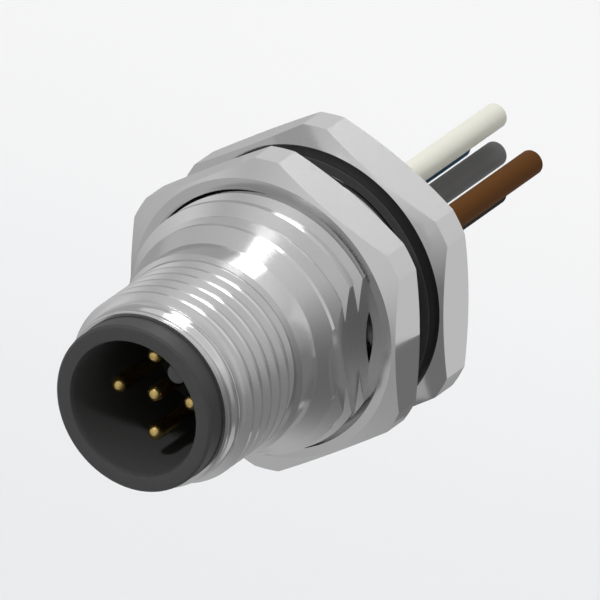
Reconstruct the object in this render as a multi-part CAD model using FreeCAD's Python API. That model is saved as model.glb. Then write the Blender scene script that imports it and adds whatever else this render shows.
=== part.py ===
# Panel-mounted round connector: a male five-pole M12 face on a plated brass housing,
# held in a panel by a hex nut in front and a sealed hex flange behind, with five short leads.
# Millimetres, +Z up. The axis runs along Y: the mating face looks to -Y, the leads leave to +Y.
# The origin lies on the axis, in the front face of the panel seal, where the back of the panel bears.
import FreeCAD, Part
import math
import os

# Housing, mating end
MATING_THREAD_D = 12.0
MATING_THREAD_LENGTH = 5.15
LEAD_IN_LENGTH = 1.8
LEAD_IN_D = 10.96
RIM_CHAMFER = 0.23
NECK_D = 12.6
NECK_LENGTH = 1.95
NECK_CHAMFER = 0.25
CONE_LENGTH = 0.95

# Housing, panel end
RELIEF_D = 14.1
RELIEF_LENGTH = 0.65
PANEL_THREAD_D = 15.7
PANEL_THREAD_LENGTH = 8.3
FLAT_FROM_AXIS = 6.73
FLANGE_THICKNESS = 3.1
REAR_BORE_D = 11.8
REAR_BORE_CHAMFER = 0.3

# Hexagons of the flange and the nut: how far the flats stand outside the panel thread,
# with the corners turned down and the faces chamfered from inside the flats
HEX_SIDES = 6
HEX_BRIM = 1.05
HEX_CORNER_CUT = 0.43
HEX_FACE_INSET = 0.2
HEX_CHAMFER_ANGLE = 25.0

# Nut
NUT_THICKNESS = 3.0
NUT_COUNTERSINK = 0.25
NUT_CLEARANCE = 0.05
PANEL_SPACE = 1.75

# Panel seal
SEAL_THICKNESS = 0.8
SEAL_INSET = 0.08
SEAL_CHAMFER = 0.42
SEAL_CLEARANCE = 0.05

# Contact carrier
CARRIER_D = 10.34
CARRIER_PROUD = 1.38
CARRIER_CAVITY_D = 8.2
CARRIER_CAVITY_DEPTH = 9.5
CARRIER_EDGE_CHAMFER = 0.15
CARRIER_MOUTH_WIDENING = 0.12
CARRIER_MOUTH_DEPTH = 0.38
CARRIER_FIT = 0.03
CARRIER_TUBE_LENGTH = 12.25
CARRIER_COLLAR_LENGTH = 4.0
KEY_D = 1.2
KEY_AXIS_RADIUS = 3.75
KEY_ANGLE = 45.0
KEY_SET_BACK = 0.43

# Sealing ring between the carrier and the housing, squeezed in its groove
RING_WIDTH = 1.0
RING_CORNER = 0.25
RING_GROOVE_WIDTH = 1.3
RING_GROOVE_FRONT_WALL = 1.2
RING_GROOVE_DEPTH = 0.85

# Contact pins
PIN_COUNT_ON_CIRCLE = 4
PIN_CIRCLE_RADIUS = 2.45
PIN_D = 1.0
PIN_SET_BACK = 2.13
PIN_NOSE_D = 0.5
PIN_NOSE_CHAMFER = 0.12
PIN_TAPER_LENGTH = 0.5
PIN_BODY_D = 1.3
PIN_BODY_START = 2.6
CUP_D = 1.6
CUP_LENGTH = 3.4
CUP_DEPTH = 2.0
CUP_WINDOW_LENGTH = 1.4
CUP_WINDOW_RISE = 0.22

# Leads
CONDUCTOR_D = 0.9
JACKET_D = 1.55
BARE_CONDUCTOR_LENGTH = 0.9
JACKET_END_CHAMFER = 0.06
LEAD_FREE_LENGTH = 18.5

# Sealing compound in the rear bore
COMPOUND_SET_BACK = 0.5

# Places along the axis that several pieces share
flange_y = SEAL_THICKNESS
flange_rear_y = flange_y + FLANGE_THICKNESS
thread_end_y = flange_y - PANEL_THREAD_LENGTH
relief_front_y = thread_end_y - RELIEF_LENGTH
cone_front_y = relief_front_y - CONE_LENGTH
neck_front_y = cone_front_y - NECK_LENGTH
lead_in_end_y = neck_front_y - MATING_THREAD_LENGTH
rim_y = lead_in_end_y - LEAD_IN_LENGTH
carrier_face_y = rim_y - CARRIER_PROUD
cavity_floor_y = carrier_face_y + CARRIER_CAVITY_DEPTH
carrier_step_y = carrier_face_y + CARRIER_TUBE_LENGTH
carrier_rear_y = carrier_step_y + CARRIER_COLLAR_LENGTH
pin_tip_y = carrier_face_y + PIN_SET_BACK
cup_end_y = carrier_rear_y + CUP_LENGTH
compound_rear_y = flange_rear_y - COMPOUND_SET_BACK
lead_end_y = flange_rear_y + LEAD_FREE_LENGTH

# Bores that the carrier sits in
front_bore_r = CARRIER_D / 2 + CARRIER_FIT
rear_bore_r = REAR_BORE_D / 2
panel_thread_r = PANEL_THREAD_D / 2
flat_r = panel_thread_r + HEX_BRIM

AXIS = FreeCAD.Vector(0, 1, 0)


def at(x, y, z=0.0):
    return FreeCAD.Vector(x, y, z)


def turned(profile):
    """Solid of revolution about the axis from the corners of its half section, each as (y, radius)."""
    corners = [at(radius, y) for y, radius in profile]
    section = Part.Face(Part.makePolygon(corners + corners[:1]))
    return section.revolve(at(0, 0), AXIS, 360)


def rod(radius, y_from, y_to, x=0.0, z=0.0):
    return Part.makeCylinder(radius, y_to - y_from, at(x, y_from, z), AXIS)


def hexagon(y_from, thickness):
    """Hexagonal prism with upright flats left and right, turned corners and chamfered faces."""
    half_side = math.pi / HEX_SIDES
    corner_r = flat_r / math.cos(half_side)
    points = []
    for step in range(HEX_SIDES + 1):
        angle = half_side * (2 * step + 1)
        points.append(at(corner_r * math.cos(angle), y_from, corner_r * math.sin(angle)))
    prism = Part.Face(Part.makePolygon(points)).extrude(AXIS * thickness)
    face_r = flat_r - HEX_FACE_INSET
    blank_r = corner_r - HEX_CORNER_CUT
    drop = (blank_r - face_r) * math.tan(math.radians(HEX_CHAMFER_ANGLE))
    y_to = y_from + thickness
    blank = turned([(y_from, 0), (y_from, face_r), (y_from + drop, blank_r),
                    (y_to - drop, blank_r), (y_to, face_r), (y_to, 0)])
    return prism.common(blank)


def make_housing():
    """One turned piece: mating thread, neck, cone, panel thread with its flat, and the flange."""
    lead_in_r = LEAD_IN_D / 2
    mating_r = MATING_THREAD_D / 2
    neck_r = NECK_D / 2
    relief_r = RELIEF_D / 2
    thread_chamfer = panel_thread_r - relief_r
    thread_start = mating_r - lead_in_r
    outside = turned([(flange_y, 0), (rim_y, 0), (rim_y, lead_in_r - RIM_CHAMFER),
                      (rim_y + RIM_CHAMFER, lead_in_r), (lead_in_end_y - thread_start, lead_in_r),
                      (lead_in_end_y, mating_r), (neck_front_y, mating_r),
                      (neck_front_y, neck_r - NECK_CHAMFER), (neck_front_y + NECK_CHAMFER, neck_r),
                      (cone_front_y, neck_r),
                      (relief_front_y, relief_r), (thread_end_y, relief_r),
                      (thread_end_y + thread_chamfer, panel_thread_r), (flange_y, panel_thread_r)])
    flat = Part.makeBox(panel_thread_r, -rim_y, PANEL_THREAD_D, at(FLAT_FROM_AXIS, rim_y, -panel_thread_r))
    outside = outside.cut(flat)
    flange = hexagon(flange_y, FLANGE_THICKNESS)
    bore = turned([(rim_y, 0), (rim_y, front_bore_r), (carrier_step_y, front_bore_r),
                   (carrier_step_y, rear_bore_r), (flange_rear_y - REAR_BORE_CHAMFER, rear_bore_r),
                   (flange_rear_y, rear_bore_r + REAR_BORE_CHAMFER), (flange_rear_y, 0)])
    return outside.fuse(flange).cut(bore).removeSplitter()


def make_nut():
    rear_y = -PANEL_SPACE
    front_y = rear_y - NUT_THICKNESS
    bore_r = panel_thread_r + NUT_CLEARANCE
    sink_r = bore_r + NUT_COUNTERSINK
    bore = turned([(front_y, 0), (front_y, sink_r), (front_y + NUT_COUNTERSINK, bore_r),
                   (rear_y - NUT_COUNTERSINK, bore_r), (rear_y, sink_r), (rear_y, 0)])
    return hexagon(front_y, NUT_THICKNESS).cut(bore)


def make_seal():
    inner_r = panel_thread_r + SEAL_CLEARANCE
    outer_r = flat_r - SEAL_INSET
    return turned([(flange_y, inner_r), (0, inner_r), (0, outer_r - SEAL_CHAMFER),
                   (SEAL_CHAMFER, outer_r), (flange_y, outer_r)])


def pin_places():
    """Pins 1 to 4 stand on the circle, right first and then anticlockwise; pin 5 is in the middle."""
    places = []
    for index in range(PIN_COUNT_ON_CIRCLE):
        angle = 2 * math.pi * index / PIN_COUNT_ON_CIRCLE
        places.append((PIN_CIRCLE_RADIUS * math.cos(angle), PIN_CIRCLE_RADIUS * math.sin(angle)))
    places.append((0.0, 0.0))
    return places


def make_pin(x, z):
    """Contact pin with a blunted taper, a thicker body in the carrier and a solder cup behind it."""
    nose_r = PIN_NOSE_D / 2
    pin_r = PIN_D / 2
    body_r = PIN_BODY_D / 2
    cup_r = CUP_D / 2
    body_y = cavity_floor_y + PIN_BODY_START
    pin = turned([(pin_tip_y, 0), (pin_tip_y, nose_r),
                  (pin_tip_y + PIN_NOSE_CHAMFER, nose_r + PIN_NOSE_CHAMFER),
                  (pin_tip_y + PIN_TAPER_LENGTH, pin_r), (body_y, pin_r), (body_y, body_r),
                  (carrier_rear_y, body_r), (carrier_rear_y, cup_r), (cup_end_y, cup_r), (cup_end_y, 0)])
    pin = pin.cut(rod(CONDUCTOR_D / 2, cup_end_y - CUP_DEPTH, cup_end_y))
    window = Part.makeBox(CUP_D, CUP_WINDOW_LENGTH, cup_r,
                          at(-cup_r, cup_end_y - CUP_WINDOW_LENGTH, CUP_WINDOW_RISE))
    pin = pin.cut(window)
    pin.translate(at(x, 0, z))
    return pin


def ring_groove_y():
    return carrier_step_y + RING_GROOVE_FRONT_WALL


def make_carrier():
    """Moulded carrier: a tube round the pins, a key on its wall and a collar in the rear bore."""
    tube_r = CARRIER_D / 2
    collar_r = rear_bore_r - CARRIER_FIT
    cavity_r = CARRIER_CAVITY_D / 2
    groove_r = collar_r - RING_GROOVE_DEPTH
    groove_y = ring_groove_y()
    carrier = turned([(cavity_floor_y, 0), (cavity_floor_y, cavity_r),
                      (carrier_face_y + CARRIER_MOUTH_DEPTH, cavity_r),
                      (carrier_face_y, cavity_r + CARRIER_MOUTH_WIDENING),
                      (carrier_face_y, tube_r - CARRIER_EDGE_CHAMFER),
                      (carrier_face_y + CARRIER_EDGE_CHAMFER, tube_r),
                      (carrier_step_y, tube_r), (carrier_step_y, collar_r),
                      (groove_y, collar_r), (groove_y, groove_r),
                      (groove_y + RING_GROOVE_WIDTH, groove_r), (groove_y + RING_GROOVE_WIDTH, collar_r),
                      (carrier_rear_y, collar_r), (carrier_rear_y, 0)])
    key_angle = math.radians(KEY_ANGLE)
    key = rod(KEY_D / 2, carrier_face_y + KEY_SET_BACK, cavity_floor_y,
              KEY_AXIS_RADIUS * math.cos(key_angle), KEY_AXIS_RADIUS * math.sin(key_angle))
    carrier = carrier.fuse(key).removeSplitter()
    for x, z in pin_places():
        hole = rod(PIN_D / 2, cavity_floor_y, carrier_rear_y, x, z)
        seat = rod(PIN_BODY_D / 2, cavity_floor_y + PIN_BODY_START, carrier_rear_y, x, z)
        carrier = carrier.cut(hole.fuse(seat))
    return carrier


def make_carrier_ring():
    """Sealing ring, corners taken off, squeezed between its groove's floor and the housing's bore."""
    inner_r = rear_bore_r - CARRIER_FIT - RING_GROOVE_DEPTH
    front_y = ring_groove_y() + (RING_GROOVE_WIDTH - RING_WIDTH) / 2
    rear_y = front_y + RING_WIDTH
    return turned([(front_y + RING_CORNER, inner_r), (front_y, inner_r + RING_CORNER),
                   (front_y, rear_bore_r - RING_CORNER), (front_y + RING_CORNER, rear_bore_r),
                   (rear_y - RING_CORNER, rear_bore_r), (rear_y, rear_bore_r - RING_CORNER),
                   (rear_y, inner_r + RING_CORNER), (rear_y - RING_CORNER, inner_r)])


def make_conductor(x, z):
    return rod(CONDUCTOR_D / 2, cup_end_y - CUP_DEPTH, lead_end_y, x, z)


def make_jacket(x, z):
    inner_r = CONDUCTOR_D / 2
    outer_r = JACKET_D / 2
    start_y = cup_end_y + BARE_CONDUCTOR_LENGTH
    jacket = turned([(start_y, inner_r), (start_y, outer_r), (lead_end_y - JACKET_END_CHAMFER, outer_r),
                     (lead_end_y, outer_r - JACKET_END_CHAMFER), (lead_end_y, inner_r)])
    jacket.translate(at(x, 0, z))
    return jacket


def make_compound(buried):
    """Cast compound that fills the rear bore round the solder cups and the ends of the leads."""
    compound = rod(rear_bore_r, carrier_rear_y, compound_rear_y)
    for piece in buried:
        compound = compound.cut(piece)
    return compound


def main():
    parts = {
        "housing": make_housing(),
        "hex_nut": make_nut(),
        "panel_seal": make_seal(),
        "contact_carrier": make_carrier(),
        "carrier_ring": make_carrier_ring(),
    }
    buried = []
    for number, (x, z) in enumerate(pin_places(), start=1):
        pin = make_pin(x, z)
        conductor = make_conductor(x, z)
        jacket = make_jacket(x, z)
        parts["contact_pin_%d" % number] = pin
        parts["lead_conductor_%d" % number] = conductor
        parts["lead_jacket_%d" % number] = jacket
        buried += [pin, conductor, jacket]
    parts["sealing_compound"] = make_compound(buried)
    os.makedirs("parts", exist_ok=True)
    for node, shape in parts.items():
        shape.exportStep("parts/%s.step" % node)
        print(node, shape.isValid(), len(shape.Solids), "solid,", round(shape.Volume, 2), "mm3")


main()
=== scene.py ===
import math

import bmesh
import bpy
from mathutils import Matrix, Vector


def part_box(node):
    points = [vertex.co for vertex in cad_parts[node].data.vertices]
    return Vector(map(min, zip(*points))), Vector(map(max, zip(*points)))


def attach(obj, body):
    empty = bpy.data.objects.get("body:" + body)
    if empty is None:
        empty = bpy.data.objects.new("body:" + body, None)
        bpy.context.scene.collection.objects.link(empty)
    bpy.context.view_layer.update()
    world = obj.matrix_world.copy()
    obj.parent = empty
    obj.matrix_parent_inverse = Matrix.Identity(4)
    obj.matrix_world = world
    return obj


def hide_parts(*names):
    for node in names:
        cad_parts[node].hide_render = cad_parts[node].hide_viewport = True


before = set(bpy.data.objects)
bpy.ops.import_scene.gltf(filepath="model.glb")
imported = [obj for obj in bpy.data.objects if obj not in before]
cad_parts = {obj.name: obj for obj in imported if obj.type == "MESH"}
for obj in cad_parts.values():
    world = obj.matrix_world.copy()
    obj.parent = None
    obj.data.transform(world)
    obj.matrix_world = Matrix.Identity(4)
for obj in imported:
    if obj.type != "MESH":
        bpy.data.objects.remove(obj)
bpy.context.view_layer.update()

# A round connector that is clamped in a hole: plated housing with two threads, hex nut, seal, keyed contact
# carrier, five gold pins and five short leads. The axis runs along Y: the mating face looks to -Y.
# Pieces are modelled in millimetres and handed over in metres.
MM = 0.001
COLUMNS = 240
SMALL_COLUMNS = 48
WELD = 0.0005
NEAR = 0.002
OVERSHOOT = 1.0

# Angles, in degrees, past which an edge stays sharp
SHARP = 20.0
SHARP_METAL = 14.0
SHARP_SMALL = 35.0

# Camera: a very long lens, so that the view is nearly parallel
VIEW_AZIMUTH = 30.4
VIEW_ELEVATION = 24.45
VIEW_DISTANCE = 1453.0
LENS = 1500.0
LOOK_AT = Vector((0.0, -0.37, -0.556))
CLIP = (0.1, 20.0)

# Housing outside, from the mating end
RIM_CHAMFER = 0.12
LEAD_IN_LENGTH = 1.8
LEAD_IN_R = 5.5
MATING_CREST_R = 6.0
MATING_LENGTH = 5.15
NECK_R = 6.3
NECK_CHAMFER = 0.25
NECK_LENGTH = 1.95
CONE_LENGTH = 0.95
RELIEF_R = 7.05
RELIEF_LENGTH = 0.3
RELIEF_DIP_LENGTH = 0.2
RELIEF_DIP = 0.15
PANEL_CREST_R = 7.85
FLAT_FROM_AXIS = 6.73
FLAT_TOOL_HEIGHT = 3 * PANEL_CREST_R
REAR_BORE_R = 5.9
REAR_BORE_CHAMFER = 0.3
CARRIER_FIT = 0.03

# Threads: groove_y is the middle of one groove on the +X side; the spare turns are cut off again at both ends
MATING_THREAD = dict(pitch=1.0, crest_r=MATING_CREST_R, root_r=5.43, crest=0.2, root=0.06, groove_y=-15.36)
PANEL_THREAD = dict(pitch=1.5, crest_r=PANEL_CREST_R, root_r=7.04, crest=0.36, root=0.05, groove_y=-5.12)
FLANK_CUTS = 6
SPARE_TURNS = 3
SPARE_TURNS_FRONT = 1.5

# Hexagons of the flange and the nut
HEX_SIDES = 6
HEX_CORNER_CUT = 0.434
HEX_FACE_INSET = 0.2
HEX_CHAMFER_ANGLE = 25.0
NUT_BORE_R = 6.93
NUT_SINK_R = 8.15
NUT_SINK_DEPTH = 0.8

# Seal: its wall gets painted shade, darker than its face
SEAL_INNER_R = 7.9
SEAL_SET_IN = 0.3
SEAL_CHAMFER = 0.1
SEAL_EDGE = 0.03
SEAL_FACE_DEPTH = 0.05
SEAL_WALL_PAINTED_SHADE = 0.15
PAINTED_SHADE_BLEND = 0.02

# Contact carrier
CAVITY_R = 4.1
CAVITY_DEPTH = 9.5
MOUTH_WIDENING = 0.12
MOUTH_DEPTH = 0.38
CARRIER_TUBE_R = 5.17
CARRIER_TUBE_LENGTH = 12.25
CARRIER_CHAMFER = 0.15
CARRIER_EDGE = 0.03
COLLAR_R = 5.87
GROOVE_R = 5.02
GROOVE_FRONT = 1.2
GROOVE_WIDTH = 1.3
KEY_R = 0.6
KEY_AXIS_RADIUS = 3.75
KEY_ANGLE = 45.0
KEY_SET_BACK = 0.43
KEY_SUNK = 0.5
KEY_EDGE = 0.08

# Pins and leads, numbered from 1; the last one is on the axis
PINS = 5
PIN_R = 0.5
PIN_NOSE_LENGTH = 0.5
PIN_NOSE_STEPS = 8
PIN_BODY_R = 0.65
PIN_BODY_START = 2.6
CUP_R = 0.8
CUP_LENGTH = 3.4
CUP_DEPTH = 2.0
CONDUCTOR_R = 0.45
JACKET_EDGE = 0.1
JACKET_COLOURS = {
    "brown": (0.095, 0.036, 0.007), "white": (0.68, 0.68, 0.60), "blue": (0.012, 0.075, 0.130),
    "black": (0.015, 0.015, 0.015), "grey": (0.18, 0.18, 0.18)}

# Noise octaves of every grain
GRAIN_DETAIL = 4.0

# The floor, in metres, is a shade lighter behind the part than in front of it
FLOOR_SIZE = 12
FLOOR_Z = -60 * MM
FLOOR_SHADES = [(0.735, 0.742, 0.755), (0.87, 0.87, 0.875)]
FLOOR_RAMP = (0.06, 0.16)

# The surroundings: what the camera sees, the even light, and what the plating mirrors. That is a room of
# soft patches, lighter or darker than the base, each (direction, edge cosine, gain). The patches were
# fitted to brightness values measured on the metal in the photograph
SKY = (0.88, 0.885, 0.89)
EVEN_LIGHT = (0.5, 0.5, 0.5)
ROOM_BASE = 0.520
ROOM_PATCHES = [
    ((0.87, -0.11, -0.48), 0.3, -0.35),
    ((0.32, 0.79, 0.52), -0.2, 0.43),
    ((-0.30, 0.81, -0.50), 0.8, -0.32),
    ((0.19, -0.87, 0.45), 0.6, 0.24),
    ((-0.91, -0.41, 0.05), 0.8, 0.31),
    ((-0.87, -0.42, -0.25), 0.8, -0.24),
    ((0.47, -0.74, 0.47), 0.8, -0.16),
    ((0.32, 0.79, 0.52), 0.3, -0.22)]

# Grey cards across the axis that only the plating mirrors, where the room is darker, each (name, y,
# shades, heights, corners as x and z); the shade goes from the first to the second between the heights
CARDS = [
    ("card_right", -1.4, (0.2, 0.2), (0, 1),
     [(8.1, 0.35), (8.1, -9.2), (-10.0, -9.2), (-10.0, -12.4), (20.4, -12.4), (20.4, -7.9)]),
    ("card_left", -1.4, (0.5, 0.5), (0, 1),
     [(-2.2, 7.8), (-30.0, 26.4), (-30.0, -7.0), (-8.1, -7.0), (-8.1, 0.0)]),
    ("card_neck", -5.0, (0.22, 0.85), (0, 10),
     [(9.3, -12.4), (24.0, -12.4), (24.0, 14.0), (4.0, 14.0), (4.0, 8.31), (9.3, 5.25)]),
    ("card_top", -3.9, (0.42, 0.42), (0, 1),
     [(-0.68, 10.15), (-30.0, 28.9), (-30.0, -5.0), (-9.3, -5.0), (-9.3, 5.14)])]

# Lamps, each (name, direction, distance, size, power, the rays that don't see it), in metres and watts
LAMPS = [
    ("key", (-0.2, -1.0, 1.3), 0.6, (0.06, 0.06), 2.0, ("camera", "glossy")),
    ("glint", (-0.2, -1.0, 1.3), 0.6, (0.06, 0.06), 0.4, ("camera", "diffuse")),
    ("overhead strip", (-0.03, 0.311, 0.95), 0.55, (0.21, 0.92), 1.45, ("camera",))]


# Modelling
def span(name):
    """Lowest and highest corner of a CAD node, in millimetres."""
    low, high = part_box(name)
    return low / MM, high / MM


def start_piece():
    """Leaves edit mode and lets go of everything, so that the next operators act on one piece."""
    if bpy.context.object and bpy.context.object.mode == "EDIT":
        bpy.ops.object.mode_set(mode="OBJECT")
    bpy.ops.object.select_all(action="DESELECT")


def take(piece):
    """Makes the piece the only one that operators act on."""
    start_piece()
    piece.select_set(True)
    bpy.context.view_layer.objects.active = piece


def edit(piece):
    """Opens the piece in edit mode, with edges to select and none selected."""
    take(piece)
    bpy.ops.object.mode_set(mode="EDIT")
    bpy.ops.mesh.select_mode(type="EDGE")
    bpy.ops.mesh.select_all(action="DESELECT")


def select_edges(piece, wanted):
    """Selects, in edit mode, the edges that are wanted."""
    mesh = bmesh.from_edit_mesh(piece.data)
    for edge in mesh.edges:
        edge.select = wanted(edge)
    bmesh.update_edit_mesh(piece.data)


def circle(name, y, radius, columns, filled=False):
    """A circle of edges, or a disc, round the connector's axis, left in edit mode."""
    start_piece()
    bpy.ops.mesh.primitive_circle_add(vertices=columns, radius=radius, location=(0, y, 0),
                                      rotation=(math.pi / 2, 0, 0), fill_type="NGON" if filled else "NOTHING")
    piece = bpy.context.object
    piece.name = name
    bpy.ops.object.transform_apply(location=True, rotation=True, scale=True)
    bpy.ops.object.mode_set(mode="EDIT")
    bpy.ops.mesh.select_mode(type="FACE" if filled else "EDGE")
    bpy.ops.mesh.select_all(action="SELECT")
    return piece


def pull(profile):
    """Extrudes the selected loop or disc from corner to corner of a half section, each (y, radius)."""
    for (y_from, radius_from), (y, radius) in zip(profile, profile[1:]):
        bpy.ops.mesh.extrude_region_move(TRANSFORM_OT_translate={"value": (0, y - y_from, 0)})
        if radius != radius_from:
            ratio = radius / radius_from
            bpy.ops.transform.resize(value=(ratio, 1, ratio), center_override=(0, y, 0))


def clean_up(piece):
    """Welds what lies together, turns the faces outwards and leaves edit mode."""
    bpy.ops.mesh.select_all(action="SELECT")
    bpy.ops.mesh.remove_doubles(threshold=WELD)
    bpy.ops.mesh.normals_make_consistent(inside=False)
    bpy.ops.object.mode_set(mode="OBJECT")
    return piece


def turned_solid(name, profile, columns=COLUMNS):
    """Turned piece, closed by a disc at each end of its half section."""
    piece = circle(name, *profile[0], columns, filled=True)
    pull(profile)
    return clean_up(piece)


def turned_ring(name, profile, columns=COLUMNS):
    """Turned piece whose half section closes on itself round an open bore."""
    piece = circle(name, *profile[0], columns)
    pull(profile + profile[:1])
    return clean_up(piece)


def change(piece, kind, **settings):
    """Adds a modifier to the piece and applies it."""
    bpy.context.view_layer.objects.active = piece
    modifier = piece.modifiers.new(kind.title(), kind)
    for setting, value in settings.items():
        setattr(modifier, setting, value)
    bpy.ops.object.modifier_apply(modifier=modifier.name)


def combine(piece, tool, operation):
    """Adds, cuts away or keeps what the two solids share, and removes the second one."""
    start_piece()
    change(piece, "BOOLEAN", operation=operation, object=tool, solver="EXACT")
    bpy.data.objects.remove(tool)


def select_open_edges(piece, *places):
    """Selects, in edit mode, the open edges in the planes at these y."""
    select_edges(piece, lambda edge: edge.is_boundary and any(
        all(abs(v.co.y - place) < NEAR for v in edge.verts) for place in places))


def soften(piece, corners, width, segments=3):
    """Rounds the round edges at these corners, each (y, radius)."""
    edit(piece)
    select_edges(piece, lambda edge: any(
        all(abs(v.co.y - y) < NEAR and abs(math.hypot(v.co.x, v.co.z) - radius) < NEAR for v in edge.verts)
        for y, radius in corners))
    bpy.ops.mesh.bevel(offset=width, segments=segments, affect="EDGES")
    bpy.ops.object.mode_set(mode="OBJECT")


def copy_to(piece, name, x, z):
    """A copy with its own mesh, moved off the axis."""
    twin = piece.copy()
    twin.data = piece.data.copy()
    twin.name = name
    bpy.context.collection.objects.link(twin)
    twin.data.transform(Matrix.Translation((x, 0, z)))
    return twin


def hand_over(piece, body, name, finish, sharp=SHARP):
    """Scales the finished piece to metres, smooths it and lets it stand for its CAD node."""
    take(piece)
    piece.data.transform(Matrix.Scale(MM, 4))
    bpy.ops.object.shade_smooth_by_angle(angle=math.radians(sharp))
    piece.data.materials.clear()
    piece.data.materials.append(finish)
    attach(piece, body)
    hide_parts(name)


def tooth(thread):
    """Half section of one pitch, from the middle of a groove to the middle of the next."""
    root, crest, pitch = thread["root"] / 2, thread["crest"] / 2, thread["pitch"]
    return [(0, thread["root_r"]), (root, thread["root_r"]), (pitch / 2 - crest, thread["crest_r"]),
            (pitch / 2 + crest, thread["crest_r"]), (pitch - root, thread["root_r"]),
            (pitch, thread["root_r"])]


def wind_thread(name, thread, y_from, y_to, limit, bends, fade=False):
    """Right-hand thread surface between two planes, open at both ends. It stays inside limit(y), whose
    profile has corners at the bends: the teeth are cut off there, or fade to lower ones of the same form."""
    pitch, root_r, crest_r = thread["pitch"], thread["root_r"], thread["crest_r"]
    turns = math.ceil((y_to - y_from) / pitch) + SPARE_TURNS
    groove_y = thread["groove_y"]
    first_y = groove_y - pitch * math.ceil((groove_y - y_from) / pitch + SPARE_TURNS_FRONT)
    section = tooth(thread)
    start_piece()
    bpy.ops.mesh.primitive_plane_add(size=1)
    piece = bpy.context.object
    piece.name = name
    bpy.ops.object.mode_set(mode="EDIT")
    bpy.ops.mesh.select_mode(type="VERT")
    bpy.ops.mesh.merge(type="CENTER")
    bpy.ops.transform.translate(value=(section[0][1], first_y, 0))
    for (y_before, radius_before), (y, radius) in zip(section, section[1:]):
        step = (radius - radius_before, y - y_before, 0)
        bpy.ops.mesh.extrude_vertices_move(TRANSFORM_OT_translate={"value": step})
    bpy.ops.mesh.select_all(action="SELECT")
    select_edges(piece, lambda edge: abs(edge.verts[0].co.x - edge.verts[1].co.x) > NEAR)
    bpy.ops.mesh.subdivide(number_cuts=FLANK_CUTS)
    bpy.ops.object.mode_set(mode="OBJECT")
    change(piece, "ARRAY", count=turns, use_relative_offset=False, use_constant_offset=True,
           constant_offset_displace=(0, pitch, 0), use_merge_vertices=True, merge_threshold=WELD)
    change(piece, "SCREW", axis="Y", angle=math.tau, screw_offset=pitch, steps=COLUMNS, render_steps=COLUMNS)
    edit(piece)
    bpy.ops.mesh.select_all(action="SELECT")
    bpy.ops.mesh.remove_doubles(threshold=WELD)
    bpy.ops.mesh.bisect(plane_co=(0, y_from, 0), plane_no=(0, 1, 0), clear_inner=True, threshold=WELD)
    bpy.ops.mesh.select_all(action="SELECT")
    bpy.ops.mesh.bisect(plane_co=(0, y_to, 0), plane_no=(0, 1, 0), clear_outer=True, threshold=WELD)
    for bend in bends:
        bpy.ops.mesh.select_all(action="SELECT")
        bpy.ops.mesh.bisect(plane_co=(0, bend, 0), plane_no=(0, 1, 0), threshold=WELD)
    bpy.ops.object.mode_set(mode="OBJECT")
    for vertex in piece.data.vertices:
        radius = math.hypot(vertex.co.x, vertex.co.z)
        most = limit(vertex.co.y)
        wanted = root_r + (radius - root_r) * max(0.0, most - root_r) / (crest_r - root_r) if fade else radius
        shrink = min(wanted, most) / radius
        vertex.co.x *= shrink
        vertex.co.z *= shrink
    return piece


def hexagon(name, y_from, y_to, flat_r):
    """Hexagonal blank with upright flats left and right, turned corners and chamfered faces."""
    corner_r = flat_r / math.cos(math.pi / HEX_SIDES)
    face_r = flat_r - HEX_FACE_INSET
    blank_r = corner_r - HEX_CORNER_CUT
    drop = (blank_r - face_r) * math.tan(math.radians(HEX_CHAMFER_ANGLE))
    start_piece()
    bpy.ops.mesh.primitive_cylinder_add(vertices=HEX_SIDES, radius=corner_r, depth=y_to - y_from,
                                        location=(0, (y_from + y_to) / 2, 0), rotation=(math.pi / 2, 0, 0))
    piece = bpy.context.object
    piece.name = name
    bpy.ops.object.transform_apply(location=True, rotation=True, scale=True)
    combine(piece, turned_solid("blank", [(y_from, face_r), (y_from + drop, blank_r), (y_to - drop, blank_r),
                                          (y_to, face_r)]), "INTERSECT")
    return piece


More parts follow.
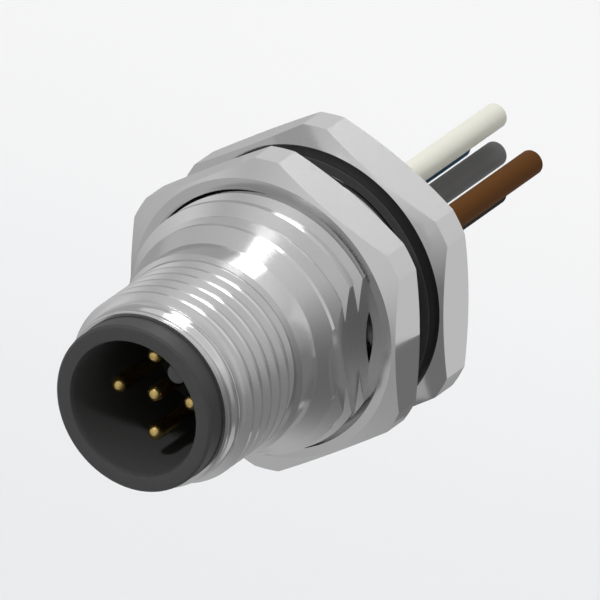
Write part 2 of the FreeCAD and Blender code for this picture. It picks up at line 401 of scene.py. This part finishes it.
# Pieces
def make_housing():
    low, high = span("housing")
    rim_y, rear_y, flat_r = low.y, high.y, high.x
    flange_y = span("panel_seal")[1].y
    lead_in_end = rim_y + LEAD_IN_LENGTH
    run_in_y = lead_in_end - (MATING_CREST_R - LEAD_IN_R)
    neck_y = lead_in_end + MATING_LENGTH
    cone_y = neck_y + NECK_LENGTH
    relief_y = cone_y + CONE_LENGTH
    dip_y = relief_y + RELIEF_LENGTH
    panel_thread_y = dip_y + RELIEF_DIP_LENGTH
    dip_r = RELIEF_R - RELIEF_DIP

    def mating_limit(y):
        rim = LEAD_IN_R - RIM_CHAMFER + (y - rim_y)
        return min(rim, max(LEAD_IN_R, LEAD_IN_R + (y - run_in_y)), MATING_CREST_R)

    def panel_limit(y):
        return min(PANEL_CREST_R, dip_r + y - panel_thread_y)

    front = wind_thread("housing_turned", MATING_THREAD, rim_y, neck_y, mating_limit,
                        (rim_y + RIM_CHAMFER, run_in_y, lead_in_end), fade=True)
    back = wind_thread("panel_thread", PANEL_THREAD, panel_thread_y, flange_y, panel_limit,
                       [panel_thread_y + PANEL_CREST_R - dip_r])
    neck = circle("neck", neck_y, NECK_R - NECK_CHAMFER, COLUMNS)
    pull([(neck_y, NECK_R - NECK_CHAMFER), (neck_y + NECK_CHAMFER, NECK_R), (cone_y, NECK_R),
          (relief_y, RELIEF_R), (dip_y, RELIEF_R), (panel_thread_y - NEAR, dip_r)])
    start_piece()
    for piece in (neck, back, front):
        piece.select_set(True)
    bpy.context.view_layer.objects.active = front
    bpy.ops.object.join()
    edit(front)
    for first, second in ((neck_y, neck_y), (panel_thread_y - NEAR, panel_thread_y)):
        select_open_edges(front, first, second)
        bpy.ops.mesh.bridge_edge_loops()
    for place in (rim_y, flange_y):
        select_open_edges(front, place)
        bpy.ops.mesh.edge_face_add()
    clean_up(front)
    combine(front, hexagon("flange", flange_y - NEAR, rear_y, flat_r), "UNION")
    start_piece()
    bpy.ops.mesh.primitive_cube_add(size=1, scale=(PANEL_CREST_R, -rim_y, FLAT_TOOL_HEIGHT),
                                    location=(FLAT_FROM_AXIS + PANEL_CREST_R / 2, rim_y / 2, 0))
    combine(front, bpy.context.object, "DIFFERENCE")
    bore_r = CARRIER_TUBE_R + CARRIER_FIT
    step_y = span("contact_carrier")[0].y + CARRIER_TUBE_LENGTH
    mouth_r = REAR_BORE_R + REAR_BORE_CHAMFER
    bore = turned_solid("bore", [
        (rim_y - OVERSHOOT, bore_r), (step_y, bore_r), (step_y, REAR_BORE_R),
        (rear_y - REAR_BORE_CHAMFER, REAR_BORE_R), (rear_y, mouth_r), (rear_y + OVERSHOOT, mouth_r)])
    combine(front, bore, "DIFFERENCE")
    hand_over(front, "connector", "housing", plated, sharp=SHARP_METAL)


def make_nut():
    low, high = span("hex_nut")
    nut = hexagon("hex_nut_turned", low.y, high.y, high.x)
    bore = turned_solid("bore", [
        (low.y - OVERSHOOT, NUT_SINK_R), (low.y, NUT_SINK_R), (low.y + NUT_SINK_DEPTH, NUT_BORE_R),
        (high.y - NUT_SINK_DEPTH, NUT_BORE_R), (high.y, NUT_SINK_R), (high.y + OVERSHOOT, NUT_SINK_R)])
    combine(nut, bore, "DIFFERENCE")
    hand_over(nut, "nut", "hex_nut", plated, sharp=SHARP_METAL)


def make_seal():
    low, high = span("panel_seal")
    outer_r = high.x - SEAL_SET_IN
    edges = [(low.y, outer_r - SEAL_CHAMFER), (low.y + SEAL_CHAMFER, outer_r)]
    seal = turned_ring("panel_seal_cut", [
        (high.y, SEAL_INNER_R), (low.y, SEAL_INNER_R), *edges, (high.y, outer_r)])
    soften(seal, edges, SEAL_EDGE)
    # Painted shade: the seal's wall, behind its face, is darkened to a share of its colour
    paint_shade_behind(rubber, low.y + SEAL_FACE_DEPTH, SEAL_WALL_PAINTED_SHADE)
    hand_over(seal, "connector", "panel_seal", rubber)


def make_carrier():
    low, high = span("contact_carrier")
    face_y, rear_y = low.y, high.y
    floor_y = face_y + CAVITY_DEPTH
    step_y = face_y + CARRIER_TUBE_LENGTH
    groove_y = step_y + GROOVE_FRONT
    mouth = (face_y, CAVITY_R + MOUTH_WIDENING)
    edge = (face_y, CARRIER_TUBE_R - CARRIER_CHAMFER)
    carrier = turned_solid("contact_carrier_moulded", [
        (floor_y, CAVITY_R), (face_y + MOUTH_DEPTH, CAVITY_R), mouth, edge,
        (face_y + CARRIER_CHAMFER, CARRIER_TUBE_R), (step_y, CARRIER_TUBE_R),
        (step_y, COLLAR_R), (groove_y, COLLAR_R), (groove_y, GROOVE_R), (groove_y + GROOVE_WIDTH, GROOVE_R),
        (groove_y + GROOVE_WIDTH, COLLAR_R), (rear_y, COLLAR_R)])
    soften(carrier, [mouth, edge], CARRIER_EDGE, segments=2)
    angle = math.radians(KEY_ANGLE)
    key_x, key_z = KEY_AXIS_RADIUS * math.cos(angle), KEY_AXIS_RADIUS * math.sin(angle)
    key_y = face_y + KEY_SET_BACK
    key = turned_solid("key", [(key_y, KEY_R), (floor_y + KEY_SUNK, KEY_R)], SMALL_COLUMNS)
    soften(key, [(key_y, KEY_R)], KEY_EDGE)
    key.data.transform(Matrix.Translation((key_x, 0, key_z)))
    combine(carrier, key, "UNION")
    hand_over(carrier, "connector", "contact_carrier", plastic)


def pin_centre(number):
    low, high = span("contact_pin_%d" % number)
    return (low.x + high.x) / 2, (low.z + high.z) / 2


def make_pins():
    tip_y = span("contact_pin_%d" % PINS)[0].y
    carrier_low, carrier_high = span("contact_carrier")
    body_y = carrier_low.y + CAVITY_DEPTH + PIN_BODY_START
    rear_y = carrier_high.y
    cup_y = rear_y + CUP_LENGTH
    turns = [math.pi / 2 * step / PIN_NOSE_STEPS for step in range(1, PIN_NOSE_STEPS + 1)]
    nose = [(tip_y + PIN_NOSE_LENGTH * (1 - math.cos(turn)), PIN_R * math.sin(turn)) for turn in turns]
    model = turned_solid("pin", nose + [
        (body_y, PIN_R), (body_y, PIN_BODY_R), (rear_y, PIN_BODY_R), (rear_y, CUP_R), (cup_y, CUP_R),
        (cup_y, CONDUCTOR_R), (cup_y - CUP_DEPTH, CONDUCTOR_R)], SMALL_COLUMNS)
    for number in range(1, PINS + 1):
        name = "contact_pin_%d" % number
        pin = copy_to(model, name + "_plated", *pin_centre(number))
        hand_over(pin, "connector", name, gold, sharp=SHARP_SMALL)
    bpy.data.objects.remove(model)


def make_leads():
    low, high = span("lead_jacket_%d" % PINS)
    radius = high.x
    model = turned_ring("jacket", [
        (low.y, CONDUCTOR_R), (low.y, radius), (high.y, radius), (high.y, CONDUCTOR_R)], SMALL_COLUMNS)
    soften(model, [(high.y, radius)], JACKET_EDGE)
    for number, colour in enumerate(JACKET_COLOURS, start=1):
        name = "lead_jacket_%d" % number
        jacket = copy_to(model, name + "_cover", *pin_centre(number))
        hand_over(jacket, "connector", name, jackets[colour], sharp=SHARP_SMALL)
    bpy.data.objects.remove(model)


def dress_hidden_nodes():
    """The inner pieces keep their CAD shape and get their finish."""
    finishes = {"carrier_ring": rubber, "sealing_compound": potting}
    for number in range(1, PINS + 1):
        finishes["lead_conductor_%d" % number] = copper
    for name, finish in finishes.items():
        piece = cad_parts[name]
        piece.data.materials.clear()
        piece.data.materials.append(finish)


# Materials
def node(owner, kind, inputs=(), **settings):
    """Adds a node to a material or world; an input is a value or another node's output."""
    made = owner.node_tree.nodes.new(kind)
    for setting, value in settings.items():
        setattr(made, setting, value)
    for socket, value in dict(inputs).items():
        if isinstance(value, bpy.types.NodeSocket):
            owner.node_tree.links.new(value, made.inputs[socket])
        else:
            made.inputs[socket].default_value = value
    return made


def shader_input(material, socket):
    return material.node_tree.nodes["Principled BSDF"].inputs[socket]


def wire(material, socket, output):
    """Lets a node's output drive an input of the material's shader."""
    material.node_tree.links.new(output, shader_input(material, socket))


def surface(name, colour, roughness, metallic=0.0, specular=0.5):
    """A new material with its shader's plain values set."""
    material = bpy.data.materials.new(name)
    material.use_nodes = True
    for socket, value in (("Base Color", (*colour, 1.0)), ("Roughness", roughness), ("Metallic", metallic),
                          ("Specular IOR Level", specular)):
        shader_input(material, socket).default_value = value
    return material


def place_along(material, axis):
    """Where a point lies along an axis of its piece, in metres."""
    place = node(material, "ShaderNodeTexCoord").outputs["Object"]
    return node(material, "ShaderNodeSeparateXYZ", {"Vector": place}).outputs[axis]


def paint(material, factor, shades):
    """The shader's colour goes from the first shade to the second with the factor."""
    tint = node(material, "ShaderNodeMix", {"Factor": factor}, data_type="RGBA")
    for socket, shade in zip("AB", shades):
        tint.inputs[socket].default_value = (*shade, 1)
    wire(material, "Base Color", tint.outputs["Result"])


def grained(name, colour, scale, spread, roughness, bump, metallic=0.0, specular=0.5):
    """Finish with a fine grain, at a scale in spots a metre. Its colour varies by the spread either way, its
    roughness between two values and its height by the bump, in metres."""
    material = surface(name, colour, roughness[0], metallic, specular)
    place = node(material, "ShaderNodeTexCoord").outputs["Object"]
    spots = node(material, "ShaderNodeTexNoise",
                 {"Vector": place, "Scale": scale, "Detail": GRAIN_DETAIL}).outputs["Fac"]
    paint(material, spots, [[value * (1 + step) for value in colour] for step in (-spread, spread)])
    gloss = node(material, "ShaderNodeMapRange",
                 {"Value": spots, "To Min": roughness[0], "To Max": roughness[1]})
    wire(material, "Roughness", gloss.outputs["Result"])
    height = node(material, "ShaderNodeBump", {"Height": spots, "Distance": bump, "Strength": 1.0})
    wire(material, "Normal", height.outputs["Normal"])
    return material


# Painted shade, not a colour of the material: darkens everything behind a plane across the axis
def paint_shade_behind(material, y, share):
    """Paints shade: behind the plane at y the colour falls to a share of itself."""
    painted_shade = node(material, "ShaderNodeMapRange",
                {"Value": place_along(material, "Y"), "From Min": (y - PAINTED_SHADE_BLEND) * MM,
                 "From Max": (y + PAINTED_SHADE_BLEND) * MM, "To Min": 1.0, "To Max": share})
    colour = shader_input(material, "Base Color").links[0].from_socket
    dark = node(material, "ShaderNodeVectorMath", {0: colour, "Scale": painted_shade.outputs["Result"]},
                operation="SCALE")
    wire(material, "Base Color", dark.outputs["Vector"])


plated = grained("bright nickel plating", (0.70, 0.70, 0.70), scale=7000, spread=0.04, roughness=(0.1, 0.2),
                 bump=0.0000015, metallic=1.0)
gold = grained("gold plating", (0.68, 0.49, 0.18), scale=4000, spread=0.06, roughness=(0.2, 0.26),
               bump=0.0000008, metallic=1.0)
plastic = grained("black moulded plastic", (0.045, 0.045, 0.045), scale=4000, spread=0.1,
                  roughness=(0.42, 0.55), bump=0.000002, specular=0.25)
rubber = grained("black rubber", (0.04, 0.04, 0.04), scale=3000, spread=0.2, roughness=(0.6, 0.75),
                 bump=0.000004, specular=0.2)
potting = grained("cast sealing compound", (0.02, 0.02, 0.022), scale=700, spread=0.15, roughness=(0.25, 0.4),
                  bump=0.00001)
copper = grained("tinned copper", (0.6, 0.58, 0.55), scale=2500, spread=0.06, roughness=(0.25, 0.4),
                 bump=0.000002, metallic=1.0)
jackets = {name: grained(name + " jacket", colour, scale=9000, spread=0.07, roughness=(0.75, 0.85),
                         bump=0.000003, specular=0.1) for name, colour in JACKET_COLOURS.items()}


# Camera, floor, surroundings and lamps
def hide_from(thing, *rays):
    for ray in rays:
        setattr(thing, "visible_" + ray, False)


def make_camera():
    azimuth, elevation = math.radians(VIEW_AZIMUTH), math.radians(VIEW_ELEVATION)
    towards = Vector((math.sin(azimuth) * math.cos(elevation), -math.cos(azimuth) * math.cos(elevation),
                      math.sin(elevation)))
    data = bpy.data.cameras.new("camera")
    data.lens = LENS
    data.clip_start, data.clip_end = CLIP
    camera = bpy.data.objects.new("camera", data)
    camera.location = (LOOK_AT + towards * VIEW_DISTANCE) * MM
    camera.rotation_euler = (-towards).to_track_quat("-Z", "Y").to_euler()
    bpy.context.scene.collection.objects.link(camera)
    bpy.context.scene.camera = camera


def make_floor():
    start_piece()
    bpy.ops.mesh.primitive_plane_add(size=FLOOR_SIZE, location=(0, 0, FLOOR_Z))
    floor = bpy.context.object
    floor.name = "floor"
    pale = surface("pale floor", FLOOR_SHADES[1], 0.9, specular=0.0)
    ramp = node(pale, "ShaderNodeMapRange", {"Value": place_along(pale, "Y"), "From Min": FLOOR_RAMP[0],
                                             "From Max": FLOOR_RAMP[1]}, interpolation_type="SMOOTHSTEP")
    paint(pale, ramp.outputs["Result"], FLOOR_SHADES)
    floor.data.materials.append(pale)
    hide_from(floor, "glossy")


def make_world():
    """Pale to the camera; a room of soft patches to mirrors; even light to everything else."""
    world = bpy.data.worlds.new("studio")
    bpy.context.scene.world = world
    world.use_nodes = True
    world.node_tree.nodes.clear()
    rays = node(world, "ShaderNodeLightPath").outputs
    direction = node(world, "ShaderNodeTexCoord").outputs["Generated"]
    room = ROOM_BASE
    for towards, edge, gain in ROOM_PATCHES:
        nearness = node(world, "ShaderNodeVectorMath", {0: direction, 1: towards}, operation="DOT_PRODUCT")
        patch = node(world, "ShaderNodeMapRange", {"Value": nearness.outputs["Value"], "From Min": edge,
                                                   "To Max": gain}, interpolation_type="SMOOTHSTEP")
        room = node(world, "ShaderNodeMath", {0: room, 1: patch.outputs["Result"]},
                    operation="ADD").outputs["Value"]
    seen = node(world, "ShaderNodeMath", {0: rays["Is Camera Ray"], 1: rays["Is Transmission Ray"]},
                operation="MAXIMUM").outputs["Value"]
    even, mirrored, pale = (node(world, "ShaderNodeBackground", {"Color": colour}).outputs["Background"]
                            for colour in ((*EVEN_LIGHT, 1), room, (*SKY, 1)))
    unseen = node(world, "ShaderNodeMixShader", {0: rays["Is Glossy Ray"], 1: even, 2: mirrored})
    mixed = node(world, "ShaderNodeMixShader", {0: seen, 1: unseen.outputs["Shader"], 2: pale})
    node(world, "ShaderNodeOutputWorld", {"Surface": mixed.outputs["Shader"]})


def make_card(name, y, shades, heights, corners):
    """Glowing grey card across the axis that only mirrors see, in millimetres."""
    start_piece()
    mesh = bpy.data.meshes.new(name)
    mesh.from_pydata([(x * MM, y * MM, z * MM) for x, z in corners], [], [range(len(corners))])
    card = bpy.data.objects.new(name, mesh)
    bpy.context.scene.collection.objects.link(card)
    grey = surface(name, (0.0, 0.0, 0.0), 1.0, specular=0.0)
    shader_input(grey, "Emission Color").default_value = (1.0, 1.0, 1.0, 1.0)
    ramp = node(grey, "ShaderNodeMapRange",
                {"Value": place_along(grey, "Z"), "From Min": heights[0] * MM, "From Max": heights[1] * MM,
                 "To Min": shades[0], "To Max": shades[1]})
    wire(grey, "Emission Strength", ramp.outputs["Result"])
    card.data.materials.append(grey)
    hide_from(card, "camera", "diffuse", "shadow", "transmission", "volume_scatter")


def make_lamp(name, direction, distance, size, power, unseen_by):
    """A rectangular lamp that looks at the part from that direction."""
    towards = Vector(direction).normalized()
    start_piece()
    bpy.ops.object.light_add(type="AREA", location=towards * distance,
                             rotation=towards.to_track_quat("Z", "Y").to_euler())
    lamp = bpy.context.object
    lamp.name = name
    lamp.data.shape = "RECTANGLE"
    lamp.data.size, lamp.data.size_y = size
    lamp.data.energy = power
    hide_from(lamp, *unseen_by)


make_camera()
make_housing()
make_nut()
make_seal()
make_carrier()
make_pins()
make_leads()
dress_hidden_nodes()
make_floor()
make_world()
for card in CARDS:
    make_card(*card)
for lamp in LAMPS:
    make_lamp(*lamp)
bpy.context.scene.view_settings.view_transform = "Standard"
